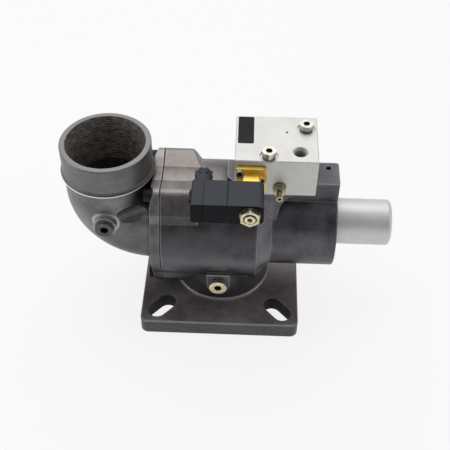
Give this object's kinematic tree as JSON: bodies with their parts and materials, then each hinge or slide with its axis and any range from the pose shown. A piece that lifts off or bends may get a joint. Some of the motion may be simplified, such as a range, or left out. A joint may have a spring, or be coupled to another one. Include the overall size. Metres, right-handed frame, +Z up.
{
  "type": "air compressor intake valve",
  "caption": "Compressor intake valve: slotted base plate, hose elbow, sprung disc valve driven by an air piston, and a control block with a solenoid pilot valve.",
  "frame": {"origin": "centre of the outlet bore in the base plate's underside", "axes": "+X along the barrel from the inlet elbow towards the silver cap, +Y to the back, +Z up out of the inlet neck"},
  "size_m": [0.3359, 0.174, 0.2089],
  "materials": {
    "body_casting": "as cast, dark coated",
    "elbow_casting": "as cast, dark coated",
    "gasket_sheet": "matt",
    "black_steel": "blackened",
    "dark_steel": "dull",
    "sealing_washer": "satin",
    "zinc_steel": "zinc plated",
    "steel": "turned",
    "turned_aluminium": "turned",
    "rubber": "matt",
    "bronze": "turned",
    "spring_steel": "plain",
    "block_aluminium": "clear anodised",
    "bright_steel": "bright zinc",
    "brass": "satin",
    "black_plastic": "fine grain"
  },
  "bodies": {
    "housing": {"valve_body": "body_casting", "inlet_elbow": "elbow_casting", "elbow_gasket": "gasket_sheet", "elbow_screws": "black_steel", "elbow_plug": "dark_steel", "elbow_plug_washer": "sealing_washer", "neck_plug": "zinc_steel", "neck_plug_washer": "sealing_washer", "seat_ring": "steel", "guide_bush": "bronze", "stem_seal": "rubber", "return_spring": "spring_steel", "cylinder_cap": "turned_aluminium", "cap_seal": "rubber", "cap_retaining_ring": "spring_steel", "manifold_block": "block_aluminium", "block_screws": "bright_steel", "block_seal": "rubber", "adjusting_locknut": "zinc_steel", "solenoid_body": "brass", "solenoid_screws": "dark_steel", "solenoid_gasket": "gasket_sheet", "armature_tube": "zinc_steel", "plunger_spring": "spring_steel", "solenoid_coil": "black_plastic", "coil_nut": "zinc_steel", "cable_connector": "black_plastic", "connector_gasket": "rubber", "connector_screw": "zinc_steel", "gland_nut": "black_plastic", "gland_grommet": "rubber"},
    "valve_train": {"valve_disc": "turned_aluminium", "disc_seal": "rubber", "valve_stem": "steel", "disc_nut": "steel", "piston": "turned_aluminium", "piston_seal": "rubber", "piston_nut": "steel"},
    "pilot_plunger": {"plunger": "steel", "plunger_seal": "rubber"},
    "needle_seal": {"adjusting_seal": "rubber"},
    "needle": {"adjusting_screw": "zinc_steel"}
  },
  "joints": [
    {"name": "valve_travel", "type": "slide", "parent": "housing", "child": "valve_train", "axis": [1, 0, 0], "range_m": [0, 0.022], "stiffness_N_per_m": 2200, "springref_m": -0.012, "deforming": ["return_spring"]},
    {"name": "plunger_travel", "type": "slide", "parent": "housing", "child": "pilot_plunger", "axis": [0, -1, 0], "range_m": [0, 0.0015], "stiffness_N_per_m": 400, "springref_m": -0.004, "deforming": ["plunger_spring"]},
    {"name": "needle_feed", "type": "slide", "parent": "housing", "child": "needle_seal", "axis": [0, 1, 0], "range_m": [-0.002, 0.002]},
    {"name": "needle_turn", "type": "hinge", "parent": "needle_seal", "child": "needle", "pos_m": [0.0556, -0.03365, 0.17], "axis": [0, 1, 0], "range_deg": [-720.5, 720.5]}
  ],
  "couplings": [
    {"joint": "needle_turn", "follows": "needle_feed", "rad_per_m": 6283.2}
  ]
}
